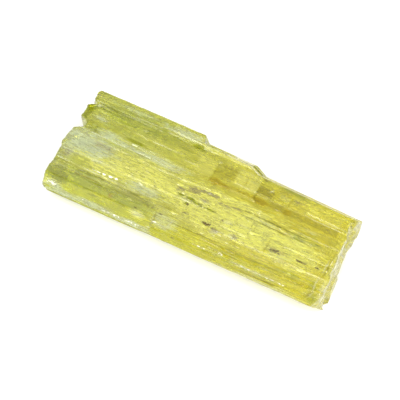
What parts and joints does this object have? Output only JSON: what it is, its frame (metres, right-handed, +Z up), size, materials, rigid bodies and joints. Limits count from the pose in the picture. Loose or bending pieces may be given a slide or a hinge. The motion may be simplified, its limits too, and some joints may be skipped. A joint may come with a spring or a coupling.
{
  "type": "rough golden beryl crystal",
  "caption": "Rough golden beryl: one flattened hexagonal crystal with lengthwise striations and two broken ends, lying on its broad face.",
  "frame": {"origin": "middle of the box around the crystal, on the surface that it lies on", "axes": "+X along the crystal towards its more golden end, +Y across it towards the ledge and the notch, +Z up out of the upper broad face"},
  "size_m": [0.0462, 0.018, 0.0096],
  "materials": {
    "golden_beryl": "translucent yellow-green to golden crystal, glassy on its flat faces, finely striated and frosted along its length, with brown stains and dark inclusions"
  },
  "bodies": {
    "root": {"beryl_crystal": "golden_beryl"}
  },
  "joints": []
}
